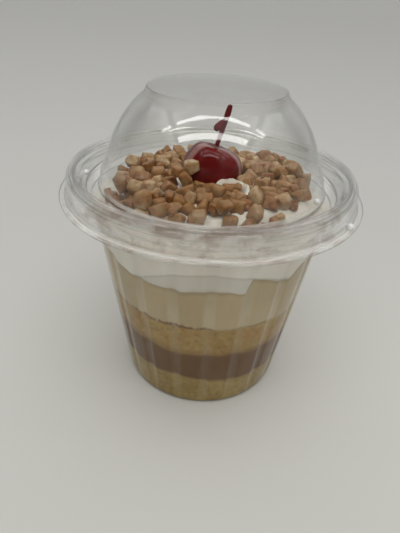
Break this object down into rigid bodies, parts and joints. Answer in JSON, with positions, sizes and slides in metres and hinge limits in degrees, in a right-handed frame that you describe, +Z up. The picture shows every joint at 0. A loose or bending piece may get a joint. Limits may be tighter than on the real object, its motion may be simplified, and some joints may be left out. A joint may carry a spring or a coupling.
{
  "type": "layered parfait in a lidded clear cup",
  "caption": "Layered parfait of sponge, chocolate filling, custard and whipped cream with chopped nuts and a cherry, in a clear tapered cup with a clear domed lid.",
  "frame": {"origin": "centre of the cup's flat underside, on the surface it stands on", "axes": "+Z up along the axis of the cup and lid; -Y towards the side that the picture shows; +X to the right in the picture"},
  "size_m": [0.1066, 0.1066, 0.1136],
  "materials": {
    "clear_cup": "thin clear plastic, glossy, lightly grooved",
    "clear_lid": "thin clear plastic, glossy",
    "lower_sponge": "moist yellow sponge crumb",
    "chocolate": "smooth dark chocolate filling",
    "upper_sponge": "moist golden sponge crumb",
    "custard": "smooth pale custard",
    "cream": "soft whipped cream with tan chopped nuts on it",
    "cherry_skin": "wet glossy red skin",
    "cherry_stem": "dyed red stem, slightly glossy"
  },
  "bodies": {
    "root": {"cup": "clear_cup", "lid": "clear_lid", "lower_sponge": "lower_sponge", "chocolate_filling": "chocolate", "upper_sponge": "upper_sponge", "custard": "custard", "whipped_cream": "cream", "cherry": "cherry_skin", "cherry_stem": "cherry_stem"}
  },
  "joints": []
}
